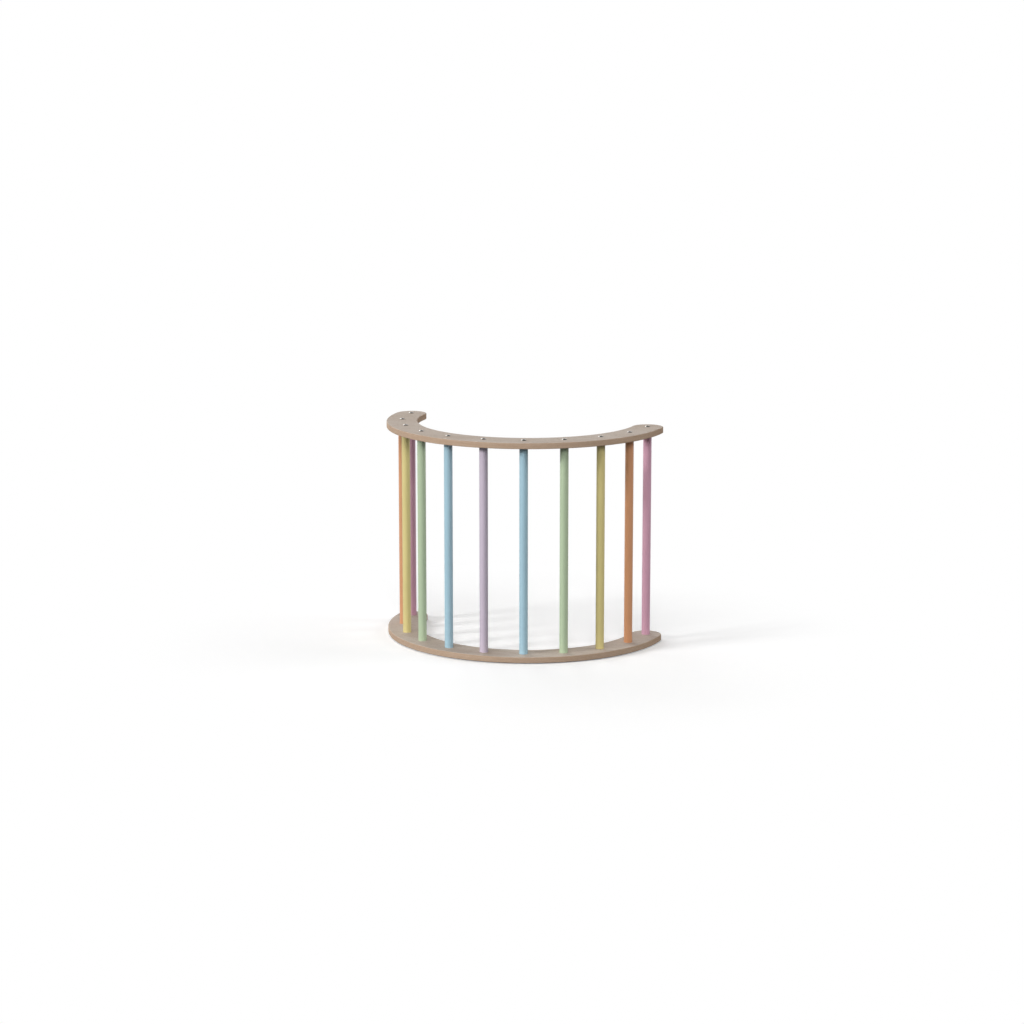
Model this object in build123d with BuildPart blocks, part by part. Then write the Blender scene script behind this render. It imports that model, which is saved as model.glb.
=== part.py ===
from build123d import *
import os
from math import cos, radians, sin

# A wooden climbing arch for toddlers: two arched side boards of plywood joined by eleven painted
# rungs. It stands on its lower side board, on the heads of the bolts, with the opening of the arch
# towards +Y. The origin is on the ground under the middle of the object. Sizes are in millimetres.

# Side boards: bands of even width along an arc, with full round ends about the first and last rung
board_spacing = 614.0  # clear width between the inner faces of the two boards
board_thickness = 18.0
board_width = 93.0
arris_radius = 2.0  # rounding along both faces of a board

# Rungs, on the middle line of the boards
rung_colours = (
    "pink",
    "orange",
    "yellow",
    "green",
    "blue",
    "lilac",
    "blue",
    "green",
    "yellow",
    "orange",
    "pink",
)
rung_circle_radius = 378.5
rung_sweep = 180.0  # degrees from the first rung to the last
rung_diameter = 25.0
rung_end_chamfer = 1.0
socket_depth = 8.0  # blind seat for the end of a rung, in the inner face of a board
socket_clearance = 0.1  # all round the rung

# Bolts: low domed heads with a hexagon socket, on the outer faces of the boards
bolt_diameter = 6.0
bolt_length = 30.0  # under the head
bolt_tip_chamfer = 1.0
bolt_hole_clearance = 0.25  # all round the bolt, in the wood
bolt_tip_room = 3.0  # free depth past the tip of a bolt, inside a rung
head_flange = 4.75  # reach of the head past the shank, all round
head_height = 2.8
head_rim_height = 0.8  # straight edge of the head, under its dome
hex_key_size = 4.0  # across the flats
hex_socket_depth = 2.0
crown_land = 0.9  # level ring round the mouth of the hexagon socket, past its corners

# Threaded inserts, screwed into the ends of the rungs
insert_length = 15.0
insert_wall = 1.3  # between the bolt and the foot of the ridges
insert_ridge_height = 0.7
insert_ridge_count = 4
insert_ridge_width = 1.8
insert_setback = 1.0  # below the end of the rung
insert_thread_clearance = 0.05  # all round the bolt
insert_hole_clearance = 0.05  # all round the ridges
insert_hex_margin = 0.15  # from the bore to the flats of the insert's own hexagon socket
insert_hex_depth = 4.0

# Sizes, heights and centres that follow from those values
rung_count = len(rung_colours)
first_angle = 270 - rung_sweep / 2
angle_step = rung_sweep / (rung_count - 1)
arc_centre_y = rung_circle_radius * (1 - sin(radians(first_angle))) / 2
lower_outer_z = head_height
lower_inner_z = lower_outer_z + board_thickness
upper_inner_z = lower_inner_z + board_spacing
upper_outer_z = upper_inner_z + board_thickness
rung_length = board_spacing + 2 * socket_depth
bolt_reach = bolt_length - (board_thickness - socket_depth)  # into a rung
head_radius = bolt_diameter / 2 + head_flange
crown_radius = hex_key_size / 2 / cos(radians(30)) + crown_land
insert_bore_radius = bolt_diameter / 2 + insert_thread_clearance
insert_core_radius = insert_bore_radius + insert_wall
insert_ridge_radius = insert_core_radius + insert_ridge_height


def on_rung_circle(index):
    """Place of a rung from the centre of the arc, counted from the leg at -X round the front."""
    angle = radians(first_angle + index * angle_step)
    return rung_circle_radius * cos(angle), rung_circle_radius * sin(angle)


def rung_centre(index):
    """Plan position of a rung."""
    x, y = on_rung_circle(index)
    return x, arc_centre_y + y


def side_plane(x, y, z, outward):
    """Plane on a side of the arch, facing outward (+1 up, -1 down), with its y axis along +Y."""
    return Plane(origin=(x, y, z), x_dir=(outward, 0, 0), z_dir=(0, 0, outward))


def axial_plane(seat):
    """Plane through the axis of a seat, with its y axis along the seat's outward normal."""
    return Plane(origin=seat.origin, x_dir=seat.x_dir, z_dir=-seat.y_dir)


def side_board(outer_face):
    """Arched board with round ends, blind rung sockets inside and bolt holes through them."""
    with BuildPart() as board:
        with BuildSketch(outer_face):
            end_radius = board_width / 2
            with BuildLine():
                for edge_radius in (rung_circle_radius - end_radius, rung_circle_radius + end_radius):
                    CenterArc((0, 0), edge_radius, first_angle, rung_sweep)
                CenterArc(on_rung_circle(0), end_radius, first_angle - 180, 180)
                CenterArc(on_rung_circle(rung_count - 1), end_radius, first_angle + rung_sweep, 180)
            make_face()
        extrude(amount=-board_thickness)
        fillet(board.faces().filter_by(Axis.Z).edges(), radius=arris_radius)

        seats = PolarLocations(
            rung_circle_radius, rung_count, first_angle, rung_sweep, endpoint=True
        )
        with BuildSketch(outer_face.offset(-board_thickness)):
            with seats:
                Circle(rung_diameter / 2 + socket_clearance)
        extrude(amount=socket_depth, mode=Mode.SUBTRACT)
        with BuildSketch(outer_face):
            with seats:
                Circle(bolt_diameter / 2 + bolt_hole_clearance)
        extrude(amount=-board_thickness, mode=Mode.SUBTRACT)
    return board.part


def rung(x, y):
    """Round rung with a stepped hole in each end, for the insert and for the tip of the bolt."""
    lower_end = side_plane(x, y, lower_inner_z - socket_depth, -1)
    upper_end = side_plane(x, y, upper_inner_z + socket_depth, 1)
    with BuildPart() as bar:
        with BuildSketch(upper_end):
            Circle(rung_diameter / 2)
        extrude(amount=-rung_length)
        chamfer(bar.edges(), length=rung_end_chamfer)
        for end in (lower_end, upper_end):
            with BuildSketch(end):
                Circle(insert_ridge_radius + insert_hole_clearance)
            extrude(amount=-(insert_setback + insert_length), mode=Mode.SUBTRACT)
            with BuildSketch(end):
                Circle(bolt_diameter / 2 + bolt_hole_clearance)
            extrude(amount=-(bolt_reach + bolt_tip_room), mode=Mode.SUBTRACT)
    return bar.part


def bolt(seat):
    """Furniture bolt whose domed head rests on the seat, with its shank going in."""
    shank_radius = bolt_diameter / 2
    # The dome leaves the level crown without a corner.
    dome_width = head_radius - crown_radius
    dome_height = head_height - head_rim_height
    dome_radius = (dome_width**2 + dome_height**2) / (2 * dome_height)
    with BuildPart() as screw:
        with BuildSketch(axial_plane(seat)):
            with BuildLine():
                Polyline((0, 0), (0, head_height), (crown_radius, head_height))
                RadiusArc((crown_radius, head_height), (head_radius, head_rim_height), dome_radius)
                Polyline(
                    (head_radius, head_rim_height),
                    (head_radius, 0),
                    (shank_radius, 0),
                    (shank_radius, bolt_tip_chamfer - bolt_length),
                    (shank_radius - bolt_tip_chamfer, -bolt_length),
                    (0, -bolt_length),
                    (0, 0),
                )
            make_face()
        revolve(axis=Axis(seat.origin, seat.z_dir))
        with BuildSketch(seat.offset(head_height)):
            RegularPolygon(radius=hex_key_size / 2, side_count=6, major_radius=False)
        extrude(amount=-hex_socket_depth, mode=Mode.SUBTRACT)
    return screw.part


def insert(mouth):
    """Threaded insert with ridges that hold it in the wood, its mouth level with the given plane."""
    ridge_pitch = insert_length / insert_ridge_count
    ridge_slope = (insert_ridge_width - insert_ridge_height) / 2
    with BuildPart() as sleeve:
        with BuildSketch(mouth):
            Circle(insert_core_radius)
        extrude(amount=-insert_length)
        with BuildSketch(axial_plane(mouth)):
            for ridge in range(insert_ridge_count):
                middle = -(ridge + 0.5) * ridge_pitch
                with BuildLine():
                    Polyline(
                        (insert_bore_radius, middle + insert_ridge_width / 2),
                        (insert_core_radius, middle + insert_ridge_width / 2),
                        (insert_ridge_radius, middle + ridge_slope / 2),
                        (insert_ridge_radius, middle - ridge_slope / 2),
                        (insert_core_radius, middle - insert_ridge_width / 2),
                        (insert_bore_radius, middle - insert_ridge_width / 2),
                        close=True,
                    )
                make_face()
        revolve(axis=Axis(mouth.origin, mouth.z_dir))
        with BuildSketch(mouth):
            Circle(insert_bore_radius)
        extrude(amount=-insert_length, mode=Mode.SUBTRACT)
        with BuildSketch(mouth):
            hex_radius = insert_bore_radius + insert_hex_margin
            RegularPolygon(radius=hex_radius, side_count=6, major_radius=False)
        extrude(amount=-insert_hex_depth, mode=Mode.SUBTRACT)
    return sleeve.part


def write(part, name):
    """Labels a finished piece and writes it under its own name."""
    part.label = name
    export_step(part, f"parts/{name}.step")


os.makedirs("parts", exist_ok=True)

write(side_board(side_plane(0, arc_centre_y, lower_outer_z, -1)), "lower_side_board")
write(side_board(side_plane(0, arc_centre_y, upper_outer_z, 1)), "upper_side_board")

for index, colour in enumerate(rung_colours):
    number = f"{index + 1:02d}"
    x, y = rung_centre(index)
    write(rung(x, y), f"rung_{number}_{colour}")
    for side, face_z, outward in (("lower", lower_outer_z, -1), ("upper", upper_outer_z, 1)):
        seat = side_plane(x, y, face_z, outward)
        rung_end = seat.offset(socket_depth - board_thickness)
        write(bolt(seat), f"{side}_bolt_{number}")
        write(insert(rung_end.offset(-insert_setback)), f"{side}_insert_{number}")
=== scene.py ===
from math import cos, pi, radians, sin, sqrt

import bmesh
import bpy
import numpy as np
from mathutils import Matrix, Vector


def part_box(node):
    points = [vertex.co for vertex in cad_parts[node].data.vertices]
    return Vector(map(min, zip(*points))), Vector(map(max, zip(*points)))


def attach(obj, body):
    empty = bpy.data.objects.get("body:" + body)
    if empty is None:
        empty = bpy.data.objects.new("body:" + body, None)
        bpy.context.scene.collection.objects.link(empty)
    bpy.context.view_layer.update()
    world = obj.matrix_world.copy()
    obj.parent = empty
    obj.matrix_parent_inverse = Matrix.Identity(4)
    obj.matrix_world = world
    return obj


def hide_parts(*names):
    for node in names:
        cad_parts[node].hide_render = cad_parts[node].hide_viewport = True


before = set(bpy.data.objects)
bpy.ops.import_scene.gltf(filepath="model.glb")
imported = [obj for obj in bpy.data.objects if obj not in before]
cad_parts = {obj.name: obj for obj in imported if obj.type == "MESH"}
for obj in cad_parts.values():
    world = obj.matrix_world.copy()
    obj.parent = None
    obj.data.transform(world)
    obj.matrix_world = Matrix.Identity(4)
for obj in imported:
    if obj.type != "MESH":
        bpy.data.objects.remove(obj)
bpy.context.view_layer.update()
scene = bpy.context.scene

# Side boards. Each is sawn from 18 mm birch plywood as an even band along a half ring with full
# round ends, routed to a rounded arris along both faces, and bored on its inner face with a blind
# seat for every rung. The outer veneers run along the span, every other one runs across it.
rung_nodes = sorted(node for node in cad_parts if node.startswith("rung_"))
rung_count = len(rung_nodes)
rung_boxes = np.array([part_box(node) for node in rung_nodes])
rung_places = rung_boxes.mean(axis=1)[:, :2]
arc_middle = np.array([0.0, rung_places[0, 1]])
ring_radius = np.linalg.norm(rung_places[0] - arc_middle)
first_angle, last_angle = pi, 2 * pi
half_step = pi / (rung_count - 1) / 2
board_low, board_high = (np.array(corner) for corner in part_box("upper_side_board"))
board_thickness = board_high[2] - board_low[2]
end_radius = board_high[0] - ring_radius
arris = 0.002
seat_radius = 0.0126
seat_depth = 0.008
seat_break = 0.0003  # eased edge round the mouth of a seat
bolt_hole_radius = 0.00325
rim_margin = 0.0004  # narrow strip of face beside a rounding, which keeps the face's shading flat
face_rows = (0, 0.3, 0.65)  # shares of the way from a hole to the rim of a face
arc_steps = 10
side_steps = 14
arris_steps = 7
round_steps = 2 * arc_steps + side_steps
merge_distance = 2e-6
sharp_angle = radians(30)  # an edge bent by more than this is shaded sharp


def build_piece(node, slot, sheets):
    """Joins sheets of points into one closed piece that stands for a CAD node.

    A sheet is an array of rows by columns by (x, y, z), with any number of like sheets before
    those. Quads run between neighbouring rows and columns, and points that meet are merged.
    """
    points, quads, used = [], [], 0
    for sheet in sheets:
        number = used + np.arange(sheet[..., 0].size).reshape(sheet.shape[:-1])
        used += number.size
        corners = (
            number[..., :-1, :-1],
            number[..., 1:, :-1],
            number[..., 1:, 1:],
            number[..., :-1, 1:],
        )
        quads.append(np.stack(corners, axis=-1).reshape(-1, 4))
        points.append(sheet.reshape(-1, 3))
    mesh = bpy.data.meshes.new(node)
    mesh.from_pydata(np.concatenate(points), [], np.concatenate(quads))
    shape = bmesh.new()
    shape.from_mesh(mesh)
    bmesh.ops.remove_doubles(shape, verts=shape.verts, dist=merge_distance)
    bmesh.ops.recalc_face_normals(shape, faces=shape.faces)
    shape.to_mesh(mesh)
    shape.free()
    mesh.shade_smooth()
    mesh.set_sharp_from_angle(angle=sharp_angle)
    piece = bpy.data.objects.new(node + "_made", mesh)
    scene.collection.objects.link(piece)
    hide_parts(node)
    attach(piece, "root")
    return piece


def heading(angle):
    """The level direction at an angle, as its cosine and sine."""
    return np.stack([np.cos(angle), np.sin(angle)], axis=-1)


def lifted(plan, heights):
    """Plan points with a height each, as one array of (x, y, z)."""
    heights = np.broadcast_to(heights, plan.shape[:-1])
    return np.concatenate([plan, heights[..., None]], axis=-1)


def half_cells():
    """Rung places and outlines of a board's half cells, of which each rung has two.

    An outline is given about its rung's place. It starts straight out from the rung, follows the
    outer edge for half a step of the ring, comes in along a radius and follows the inner edge
    back. Past the first and last rung it is a half circle instead. It is worked out for a rung
    that lies straight along X, mirrored on one side, and turned to the rung's own angle.
    """
    flat_end = end_radius - arris
    turn = np.linspace(0, half_step, arc_steps + 1)
    run = np.linspace(flat_end, -flat_end, side_steps + 1)[1:-1]
    edge = np.full(arc_steps + 1, flat_end)
    reach = ring_radius + np.concatenate([edge, run, -edge])
    angle = np.concatenate([turn, np.full(side_steps - 1, half_step), turn[::-1]])
    plain = reach[:, None] * heading(angle) - [ring_radius, 0]
    rounded = flat_end * heading(np.linspace(0, pi, round_steps + 1))

    cell = np.repeat(np.arange(rung_count), 2)
    side = np.tile([-1, 1], rung_count)
    is_end = (cell + side < 0) | (cell + side > rung_count - 1)
    outline = np.where(is_end[:, None, None], rounded, plain)
    outline = outline * np.stack([side**2, side], axis=1)[:, None]
    cell_angle = (first_angle + 2 * half_step * cell)[:, None]
    out = heading(cell_angle)
    along = np.stack([-np.sin(cell_angle), np.cos(cell_angle)], axis=-1)
    outline = outline[..., :1] * out + outline[..., 1:] * along
    return arc_middle + ring_radius * out, outline


def board_sheets(outer_z, inner_z):
    """Surfaces of a side board between two heights.

    Each face is the straight blend, half cell by half cell, from a circle round the rung to the
    half cell's outline. The seat is the same circle carried down its bore. The edge runs once
    round the band: its points lie on the middle line, plus the way that the edge faces there
    times half the flat width and the rounding, which is a quarter circle beside each face.
    """
    way_in = np.sign(inner_z - outer_z)
    depth = abs(inner_z - outer_z)
    flat_end = end_radius - arris
    centre, outline = (part[:, :, None] for part in half_cells())
    spoke = outline / np.linalg.norm(outline, axis=-1, keepdims=True)
    blend = np.array([*face_rows, 1 - rim_margin / end_radius, 1])[:, None]

    def face(hole_radius, height):
        return lifted(centre + spoke * hole_radius * (1 - blend) + outline * blend, height)

    mouth_radius = seat_radius + seat_break
    bore_radii = [mouth_radius, seat_radius, seat_radius, bolt_hole_radius, bolt_hole_radius]
    bore_depths = [0, seat_break, seat_depth, seat_depth, depth]
    bore_heights = inner_z - way_in * np.array(bore_depths)
    bore = lifted(centre + spoke * np.array(bore_radii)[:, None], bore_heights)

    ring = np.linspace(first_angle, last_angle, 2 * (rung_count - 1) * arc_steps + 1)
    half_turn = np.linspace(0, pi, round_steps + 1)
    still = np.ones(round_steps + 1)
    facing = [ring, last_angle + half_turn, ring[::-1] + pi, first_angle - pi + half_turn]
    middle = [ring, last_angle * still, ring[::-1], first_angle * still]
    facing, middle = (heading(np.concatenate(part))[:, None] for part in (facing, middle))
    bend = np.linspace(0, pi / 2, arris_steps + 1)
    offset = np.concatenate([np.sin(bend), [1, 1], np.sin(bend[::-1])]) * arris
    drop = arris * (1 - np.cos(bend))
    margins = [arris + rim_margin, depth - arris - rim_margin]
    drop = np.concatenate([drop, margins, depth - drop[::-1]])
    plan = arc_middle + ring_radius * middle + facing * (flat_end + offset)[:, None]
    edge = lifted(plan, outer_z + way_in * drop)

    return [face(bolt_hole_radius, outer_z), face(mouth_radius, inner_z), bore, edge]


class Finish:
    """A value in a material or a world.

    Arithmetic on it adds Math nodes, and node() adds any other node.
    """

    def __init__(self, tree, socket=None):
        self.tree = tree
        self.socket = socket

    def node(self, kind, settings, inputs, output=0):
        """Adds a node, gives it its settings, then the values or links of its sockets."""
        added = self.tree.nodes.new(kind)
        for name, value in settings.items():
            setattr(added, name, value)
        for name, value in inputs.items():
            if isinstance(value, Finish):
                self.tree.links.new(value.socket, added.inputs[name])
            else:
                added.inputs[name].default_value = value
        return Finish(self.tree, added.outputs[output])

    def feed(self, shader, name):
        """Links this to a socket of a shader."""
        self.tree.links.new(self.socket, shader.inputs[name])

    def math(self, operation, *others):
        """One Math node, with this as its first number."""
        numbers = dict(enumerate((self, *others)))
        return self.node("ShaderNodeMath", {"operation": operation}, numbers)

    def __add__(self, other):
        return self.math("ADD", other)

    def __sub__(self, other):
        return self.math("SUBTRACT", other)

    def __rsub__(self, other):
        return self.math("MULTIPLY_ADD", -1, other)

    def __mul__(self, other):
        return self.math("MULTIPLY", other)

    def __abs__(self):
        return self.math("ABSOLUTE")

    __radd__, __rmul__ = __add__, __mul__

    def ramp(self, low, high):
        """0 below low, 1 above high, and smooth between them."""
        settings = {"interpolation_type": "SMOOTHSTEP"}
        inputs = {"Value": self, "From Min": low, "From Max": high}
        return self.node("ShaderNodeMapRange", settings, inputs)

    def parts(self):
        """The three numbers of a vector."""
        inputs = {"Vector": self}
        return [self.node("ShaderNodeSeparateXYZ", {}, inputs, output=name) for name in "XYZ"]

    def joined(self, x, y, z):
        """A vector of three numbers."""
        return self.node("ShaderNodeCombineXYZ", {}, {"X": x, "Y": y, "Z": z})

    def stretched(self, *amounts):
        """This vector with each of its three numbers multiplied by its own amount."""
        settings = {"operation": "MULTIPLY"}
        return self.node("ShaderNodeVectorMath", settings, {0: self, 1: amounts})

    def noise(self, detail=2.0, roughness=0.5, distortion=0.0):
        """Smooth noise about 0.5, one cell to each unit of this vector."""
        inputs = {
            "Vector": self,
            "Scale": 1.0,
            "Detail": detail,
            "Roughness": roughness,
            "Distortion": distortion,
        }
        return self.node("ShaderNodeTexNoise", {}, inputs)

    def mix(self, low, high, blend_type="MIX"):
        """Colour low where this is 0. Where this is 1, colour high, or high blended into low."""
        settings = {"data_type": "RGBA", "blend_type": blend_type}
        return self.node("ShaderNodeMix", settings, {0: self, 6: low, 7: high}, output=2)

    def tint(self, colour, shade):
        """The colour multiplied by a shade colour, by as much as this says."""
        return self.mix(colour, shade, "MULTIPLY")

    def bump(self, strength, distance):
        """The surface's direction, bumped with this as the height."""
        inputs = {"Height": self, "Strength": strength, "Distance": distance}
        return self.node("ShaderNodeBump", {}, inputs)


def new_material(name, **constants):
    """A material, its shader with the given constants, and object coordinates to start from."""
    material = bpy.data.materials.new(name)
    material.use_nodes = True
    shader = material.node_tree.nodes["Principled BSDF"]
    for socket, value in constants.items():
        shader.inputs[socket.replace("_", " ")].default_value = value
    place = Finish(material.node_tree).node("ShaderNodeTexCoord", {}, {}, output="Object")
    return material, shader, place


def colour(red, green, blue):
    """A colour given as it looks on a screen, from 0 to 255, as the linear numbers of a shader."""
    screen = np.array([red, green, blue]) / 255
    return (*np.where(screen < 0.04045, screen / 12.92, ((screen + 0.055) / 1.055) ** 2.4), 1.0)


ply_count = 13
ply_waves = (14, 14, 300)  # cells in a metre along X, Y and Z
ply_waviness = 0.3  # of a veneer's thickness
ply_end = 0.02  # how far inside the outer veneer, in veneers, a face counts as lying
ply_shift = 7.31  # cells between the patterns of two neighbouring veneers
level_cells = 90  # in a metre of depth
flame_cells = (2.4, 11)  # in a metre along and across the grain, as are the next two
fibre_cells = (22, 900)
pore_cells = (90, 2400)
cloud_cells = (5, 7)  # in a metre along X and Y
ring_cells = 16  # growth rings in a metre across the grain
ring_sway = 9  # how many growth rings the flames can push them aside
pore_window = (0.66, 0.74)  # noise between which a pore sets in
cloud_window = (0.3, 0.7)  # noise between which a cloud of tone sets in
glue_window = (0.43, 0.5)  # distances from a veneer's middle between which glue sets in
ply_roughness = 0.74
ply_relief = 0.00015
# The faces' colour is the veneer's own, made greyer and cooler than the edges as painted sheen,
# standing in for the pale reflection the faces catch at a low angle
face_grain_and_sheen = colour(201, 192, 184)
side_grain = colour(204, 185, 166)
end_grain = colour(199, 172, 150)
glue_line = colour(128, 103, 82)
grain_shade = colour(226, 214, 200)
pore_shade = colour(170, 140, 112)

for board in ("lower_side_board", "upper_side_board"):
    low_z, high_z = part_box(board)[0][2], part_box(board)[1][2]
    heights = (low_z, high_z) if board.startswith("lower") else (high_z, low_z)
    piece = build_piece(board, "plywood", board_sheets(*heights))

    plywood, shader, place = new_material(board + "_plywood", Specular_IOR_Level=0.3)
    x, y, z = place.parts()
    facing = place.node("ShaderNodeNewGeometry", {}, {}, output="Normal")
    facing_x, facing_y, facing_z = facing.parts()

    # Depth counted in veneers, slightly wavy, and the veneer that it falls in.
    drift = place.stretched(*ply_waves).noise(1.0) - 0.5
    veneers = (z - low_z) * (ply_count / board_thickness) + drift * ply_waviness
    veneers = veneers.math("MAXIMUM", ply_end).math("MINIMUM", ply_count - ply_end)
    veneer = veneers.math("FLOOR")
    crossed = veneer.math("MODULO", 2)
    along = x + (y - x) * crossed
    across = y + (x - y) * crossed
    level = veneer * ply_shift + z * level_cells

    # Growth rings as soft flames, fibres, and pores as short dark dashes, all along the grain.
    flame = place.joined(along * flame_cells[0], across * flame_cells[1], level)
    flame = flame.noise(3.0, 0.55, 0.4)
    rings = abs((flame * ring_sway + across * ring_cells).math("FRACT") - 0.5) * 2
    fibre = place.joined(along * fibre_cells[0], across * fibre_cells[1], level * 3)
    fibre = fibre.noise(3.0, 0.6)
    pores = place.joined(along * pore_cells[0], across * pore_cells[1], level * 5)
    pores = pores.noise(0.0).ramp(*pore_window)
    cloud = place.joined(x * cloud_cells[0], y * cloud_cells[1], level * 0.2).noise(2.0)

    # A veneer shows its end grain where the edge of the board is square to it.
    end_on = facing_x * facing_x
    end_on = end_on + (facing_y * facing_y - end_on) * crossed
    edge_on = 1 - facing_z * facing_z
    within = abs(veneers - veneer - 0.5)
    glue = within.ramp(*glue_window) * edge_on
    pores = pores * (1 - edge_on * 0.85)

    # Faces take the face colour with its painted sheen, edges the side and end grain colours
    wood = end_on.mix(edge_on.mix(face_grain_and_sheen, side_grain), end_grain)
    wood = (rings * 0.3 + fibre * 0.6).tint(wood, grain_shade)
    wood = (cloud.ramp(*cloud_window) * 0.35).tint(wood, grain_shade)
    wood = (pores * 0.55).tint(wood, pore_shade)
    wood = (glue * 0.7).mix(wood, glue_line)
    wood.feed(shader, "Base Color")
    (ply_roughness + fibre * 0.12 + end_on * 0.06).feed(shader, "Roughness")
    relief = fibre * 0.5 - pores * 0.6 - glue * 0.8 + rings * 0.15
    relief.bump(0.35, ply_relief).feed(shader, "Normal")
    piece.data.materials.append(plywood)

# Rungs. Eleven beech dowels, 25 mm thick with a small chamfer at each end, bored for an insert and
# the tip of a bolt, then sealed and painted with satin colour before they go into the boards.
rung_radius = (rung_boxes[0, 1, 0] - rung_boxes[0, 0, 0]) / 2
rung_chamfer = 0.001
insert_hole_radius, insert_hole_depth = 0.0051, 0.016
tip_hole_radius, tip_hole_depth = 0.00325, 0.023
rung_segments = 96
rung_rings = 40
beech_grain = (420, 420, 9)  # cells in a metre along X, Y and Z, as are the next three
beech_flecks = (700, 700, 110)
paint_clouds = (30, 30, 8)
paint_peel = (600, 600, 500)
fleck_window = (0.6, 0.75)  # noise between which a fleck sets in
paint_shade = 0.86  # of the paint's colour, where the grain shows through
paint_roughness = 0.34
paint_relief = 0.00012
paints = {
    "pink": colour(210, 162, 183),
    "orange": colour(213, 153, 111),
    "yellow": colour(220, 205, 140),
    "green": colour(183, 201, 168),
    "blue": colour(168, 202, 217),
    "lilac": colour(204, 191, 207),
}


def turned(profile, segments, axis, seat_z=0.0, flip=1):
    """Surface of a profile turned round an upright axis, with its heights counted from a seat.

    A profile's radii and heights are rows, and each may change with the angle, along its columns.
    With flip at -1 the piece is turned over about the X direction through its axis and seat.
    """
    radii, heights = profile
    around = heading(np.linspace(0, 2 * pi, segments + 1))
    radii = np.broadcast_to(radii, (len(radii), segments + 1))
    heights = np.broadcast_to(seat_z + flip * heights, radii.shape)
    return lifted(radii[..., None] * around * [1, flip] + axis, heights)


def rung_profile(low_z, high_z):
    """Radii and heights of a dowel, from the floor of its upper bore round to that of its lower."""
    steps = [
        (0.0, tip_hole_depth),
        (tip_hole_radius, tip_hole_depth),
        (tip_hole_radius, insert_hole_depth),
        (insert_hole_radius, insert_hole_depth),
        (insert_hole_radius, 0.0),
        (rung_radius - rung_chamfer, 0.0),
        (rung_radius, rung_chamfer),
    ]
    radii, depths = np.array(steps).T
    plain_end = rung_chamfer + rim_margin
    shaft = np.linspace(high_z - plain_end, low_z + plain_end, rung_rings)
    radii = np.concatenate([radii, np.full(rung_rings, rung_radius), radii[::-1]])
    heights = np.concatenate([high_z - depths, shaft, low_z + depths[::-1]])
    return radii[:, None], heights[:, None]


paint_materials = {}
for name, paint in paints.items():
    material, shader, place = new_material("paint_" + name)

    # The grain of the beech shows faintly through the paint, with its short flecks.
    grain = place.stretched(*beech_grain).noise(3.0, 0.6)
    flecks = place.stretched(*beech_flecks).noise(1.0).ramp(*fleck_window)
    cloud = place.stretched(*paint_clouds).noise(2.0)
    peel = place.stretched(*paint_peel).noise(1.0)

    darker = (*(channel * paint_shade for channel in paint[:3]), 1.0)
    shade = grain * 0.35 + cloud.ramp(*cloud_window) * 0.3 + flecks * 0.2
    shade.mix(paint, darker).feed(shader, "Base Color")
    (paint_roughness + grain * 0.1 + cloud * 0.06).feed(shader, "Roughness")
    relief = grain * 0.5 + flecks * 0.25 + peel * 0.2
    relief.bump(0.25, paint_relief).feed(shader, "Normal")
    paint_materials[name] = material

for node, box, axis in zip(rung_nodes, rung_boxes, rung_places):
    paint_name = node.split("_")[-1]
    profile = rung_profile(box[0, 2], box[1, 2])
    piece = build_piece(node, "paint_" + paint_name, [turned(profile, rung_segments, axis)])
    piece.data.materials.append(paint_materials[paint_name])

# Threaded inserts. Zinc-plated steel sleeves, screwed into both ends of every rung, which the bolts
# pull against the boards. They are out of sight once the arch is together.
zinc_film = (260, 260, 260)  # cells in a metre
zinc_yellow = colour(196, 190, 168)
zinc_blue = colour(172, 176, 182)
zinc_roughness = 0.3
zinc_relief = 0.00005

zinc, shader, place = new_material("zinc", Metallic=1.0)
film = place.stretched(*zinc_film).noise(3.0, 0.6)
film.mix(zinc_yellow, zinc_blue).feed(shader, "Base Color")
(zinc_roughness + film * 0.2).feed(shader, "Roughness")
film.bump(0.2, zinc_relief).feed(shader, "Normal")
for node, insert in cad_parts.items():
    if "_insert_" in node:
        insert.data.materials.clear()
        insert.data.materials.append(zinc)

# Furniture bolts. M6 steel bolts with low domed heads, turned, plated, and driven with a hexagon
# key through the boards into the inserts. Their heads stay proud of the boards.
bolt_nodes = sorted(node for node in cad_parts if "_bolt_" in node)
bolt_low, bolt_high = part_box(bolt_nodes[0])
head_height = 0.0028
head_radius = 0.00775
head_rim = 0.0008
rim_round = 0.0003
rim_steps = 3
crown_radius = 0.0032
dome_steps = 9
key_half_width = 0.002
key_corner_radius = 2 * key_half_width / sqrt(3)
socket_depth = 0.002
socket_cone = 0.0004  # how much deeper the middle of the socket is
socket_foot = 0.96  # of the hexagon, where its floor begins to curve up
mouth_margin = 0.00015  # how far the countersink reaches past the hexagon's corners
mouth_slope = 0.6  # how much the countersink sinks on its way in
edge_break = 0.0001
shank_radius = 0.003
bolt_length = bolt_high[2] - bolt_low[2] - head_height
thread_pitch = 0.001
thread_depth = 0.0006
thread_start = 0.008  # below the head
tip_chamfer = 0.001
bolt_segments = 48
thread_rows_per_turn = 6
steel_film = (500, 500, 500)  # cells in a metre
lathe_cells = 9000
lathe_relief = 0.00004
steel_bright = colour(168, 166, 162)
steel_dull = colour(148, 146, 142)
steel_roughness = 0.18
# near-black painted shade for the inside of the hexagon socket, where the recess would lie in shade
socket_painted_shade = colour(12, 12, 11)


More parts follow.
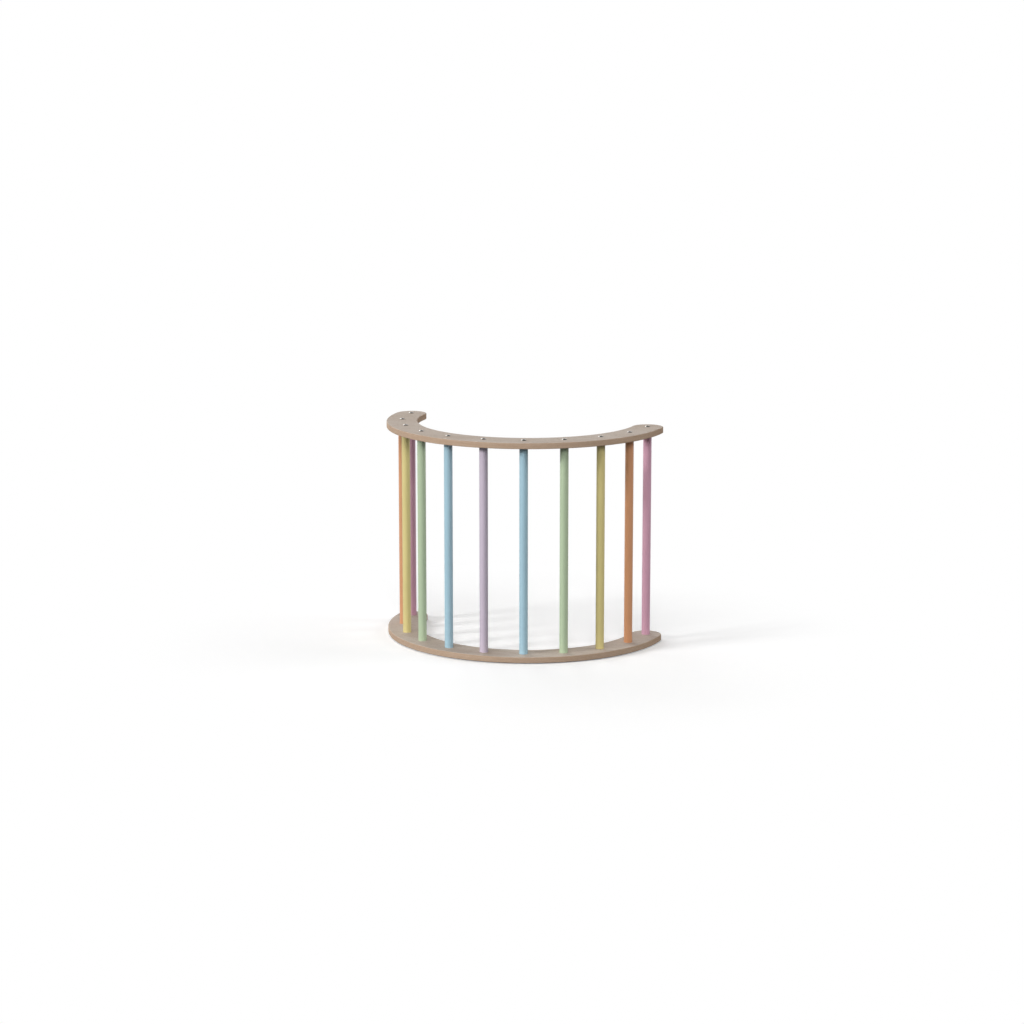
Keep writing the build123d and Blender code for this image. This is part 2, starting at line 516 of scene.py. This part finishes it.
def bolt_profile():
    """Radii and heights of a bolt above its seat, from the middle of its socket to its tip.

    The hexagon's radius is its half width over the cosine of the angle from the nearest flat. The
    dome is a circle's arc that starts level at the crown. The thread is a helix of even ridges:
    the radius follows a rounded wave of the height plus the angle's share of a turn.
    """
    angle = np.linspace(0, 2 * pi, bolt_segments + 1)
    hexagon = key_half_width / np.cos((angle + pi / 6) % (pi / 3) - pi / 6)
    mouth = key_corner_radius + mouth_margin
    countersink = head_height - (mouth - hexagon) * mouth_slope
    socket_floor = head_height - socket_depth

    run, rise = head_radius - crown_radius, head_height - head_rim
    dome_radius = (run**2 + rise**2) / (2 * rise)
    lean = np.linspace(0, np.arcsin(run / dome_radius), dome_steps + 1)
    dome_radii = crown_radius + dome_radius * np.sin(lean)
    dome_heights = head_height - dome_radius * (1 - np.cos(lean))
    bend = np.linspace(0, pi / 2, rim_steps + 1)[1:]
    rim_radii = head_radius - rim_round * (1 - np.cos(bend))
    rim_heights = rim_round * (1 - np.sin(bend))

    turns = (bolt_length - thread_start - thread_pitch) / thread_pitch
    turn = np.linspace(0, turns, int(turns * thread_rows_per_turn) + 1)
    thread_z = -thread_start - turn * thread_pitch
    wave = 0.5 - 0.5 * np.cos(2 * pi * (thread_z[:, None] / thread_pitch + angle / (2 * pi)))
    fade = np.clip(turn, 0, 1)
    thread = shank_radius - thread_depth * fade[:, None] * wave

    rows = [
        (0, socket_floor - socket_cone),
        (hexagon * socket_foot, socket_floor),
        (hexagon, socket_floor + edge_break),
        (hexagon, countersink - edge_break),
        (hexagon, countersink),
        (mouth, head_height),
        (mouth + edge_break, head_height),
        *zip(dome_radii, dome_heights),
        (head_radius, head_rim - edge_break),
        *zip(rim_radii, rim_heights),
        (shank_radius, 0),
        (shank_radius, -2 * edge_break),
        *zip(thread, thread_z),
        (shank_radius - tip_chamfer, -bolt_length),
        (0, -bolt_length),
    ]
    around = np.ones_like(angle)
    radii, heights = (np.array([part * around for part in column]) for column in zip(*rows))
    return radii, heights


steel, shader, place = new_material("plated_steel", Metallic=1.0)
from_axis, in_socket = (
    place.node("ShaderNodeAttribute", {"attribute_name": name}, {}, output="Fac")
    for name in ("from_axis", "in_socket")
)
film = place.stretched(*steel_film).noise(3.0, 0.6)
lathe = place.joined(from_axis * lathe_cells, 0.0, 0.0).noise(2.0, 0.7)
bright = (film * 0.6 + lathe * 0.4).mix(steel_bright, steel_dull)
# The socket's inside is coloured near-black: painted shade in the recess, not a finish of the steel
in_socket.mix(bright, socket_painted_shade).feed(shader, "Base Color")
(steel_roughness + film * 0.06 + in_socket * 0.35).feed(shader, "Roughness")
lathe.bump(0.3, lathe_relief).feed(shader, "Normal")

profile = bolt_profile()
socket_reach = key_corner_radius + mouth_margin / 3  # past the hexagon but short of the mouth
for node in bolt_nodes:
    low, high = (np.array(corner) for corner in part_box(node))
    axis = (low + high)[:2] / 2
    flip = -1 if node.startswith("lower") else 1
    seat_z = low[2] + head_height if flip < 0 else high[2] - head_height
    sheet = turned(profile, bolt_segments, axis, seat_z, flip)
    mesh = build_piece(node, "bolt_steel", [sheet]).data
    points = np.empty(len(mesh.vertices) * 3)
    mesh.vertices.foreach_get("co", points)
    points = points.reshape(-1, 3)
    distance = np.linalg.norm(points[:, :2] - axis, axis=1)
    up = flip * (points[:, 2] - seat_z)
    inside = (distance < socket_reach) & (up < head_height - edge_break) & (up > 0)
    for name, values in (("from_axis", distance), ("in_socket", inside.astype(float))):
        mesh.attributes.new(name, "FLOAT", "POINT").data.foreach_set("value", values)
    mesh.materials.append(steel)

# Floor and light. A plain pale floor runs to the horizon before a white backdrop. The key lamp
# stands low on the left in front and is small enough to throw shadows, and large soft lamps fill
# the rest. High up the backdrop ends in a dark ceiling, which shows only in reflections.
floor_reach = 60.0
shadow_fade = (0.45, 1.15)  # distances from the middle between which the floor's shadows fade out
bounce_grey = 0.1  # what the floor throws back on the arch, less than what it shows
sky_strength = 0.02
ceiling_heights = (36.0, 54.0)  # degrees between which the backdrop fades into the ceiling
ceiling_white = 0.02
lamps = {  # bearing and height in degrees as seen from the arch, width in radians, strength
    "key": (225.6, 18.9, 0.24, 2.02),
    "front": (290.0, 24.0, 0.3, 1.12),
    "high": (270.0, 50.0, 0.5, 0.6),
    "right": (18.0, 25.0, 0.5, 0.98),
    "left_back": (143.0, 27.0, 0.8, 1.4),
}


def shown_rays(start):
    """1 on camera rays, and 1 on all rays that show a surface: camera, glossy and clear ones."""
    seen, glossy, clear = (
        start.node("ShaderNodeLightPath", {}, {}, output=name)
        for name in ("Is Camera Ray", "Is Glossy Ray", "Is Transmission Ray")
    )
    return seen, seen.math("MAXIMUM", glossy.math("MAXIMUM", clear))


floor_lit = sky_strength  # how bright the lamps and the sky make a white floor
for name, (bearing, height, width, strength) in lamps.items():
    lamp = bpy.data.lights.new(name, "SUN")
    lamp.energy = strength
    lamp.angle = width
    lamp_object = bpy.data.objects.new(name, lamp)
    bearing, height = radians(bearing), radians(height)
    towards = Vector((cos(bearing) * cos(height), sin(bearing) * cos(height), sin(height)))
    lamp_object.rotation_euler = (-towards).to_track_quat("-Z", "Y").to_euler()
    scene.collection.objects.link(lamp_object)
    floor_lit += strength / pi * sin(height)

floor_mesh = bpy.data.meshes.new("floor")
floor_corners = [(-1, -1, 0), (1, -1, 0), (1, 1, 0), (-1, 1, 0)]
floor_mesh.from_pydata(np.array(floor_corners) * floor_reach, [], [(0, 1, 2, 3)])
floor = bpy.data.objects.new("floor", floor_mesh)
scene.collection.objects.link(floor)
floor_paper, shader, place = new_material(
    "floor_paper", Roughness=1.0, Specular_IOR_Level=0.0, Emission_Strength=1.0
)

# The floor's lit grey carries the shadows, and its glow fills up the rest to white.
seen, shown = shown_rays(place)
away = place.node("ShaderNodeVectorMath", {"operation": "LENGTH"}, {0: place}, output="Value")
near = 1 - away.ramp(*shadow_fade)
grey = bounce_grey + seen * (near - bounce_grey)
grey.joined(grey, grey, grey).feed(shader, "Base Color")
glow = shown * (1 - grey * floor_lit)
glow.joined(glow, glow, glow).feed(shader, "Emission Color")
floor_mesh.materials.append(floor_paper)

world = bpy.data.worlds.new("studio")
scene.world = world
world.use_nodes = True
background = world.node_tree.nodes["Background"]
background.inputs["Color"].default_value = (1, 1, 1, 1)

# The backdrop shows white up to the ceiling, and to the camera everywhere, but hardly lights.
direction = Finish(world.node_tree).node("ShaderNodeTexCoord", {}, {}, output="Generated")
seen, shown = shown_rays(direction)
ceiling = direction.parts()[2].ramp(*(sin(radians(height)) for height in ceiling_heights))
ceiling = ceiling * (1 - seen) * (1 - ceiling_white)
(sky_strength + shown * (1 - sky_strength) * (1 - ceiling)).feed(background, "Strength")

# Camera. A long lens, 8 m off to the front and right of the arch and 2 m up, turned to the left
# and tipped down a little so that the arch stands in the middle of the picture.
camera_place = (2.84159, -7.74590, 2.00044)
camera_tip, camera_turn = 0.19115, 0.34946
camera = bpy.data.cameras.new("camera")
camera.lens = 99.449
camera.sensor_width = 36
camera.clip_end = 200
camera_object = bpy.data.objects.new("camera", camera)
camera_object.location = camera_place
camera_object.rotation_euler = (pi / 2 - camera_tip, 0, camera_turn)
scene.collection.objects.link(camera_object)
scene.camera = camera_object
scene.view_settings.view_transform = "Standard"
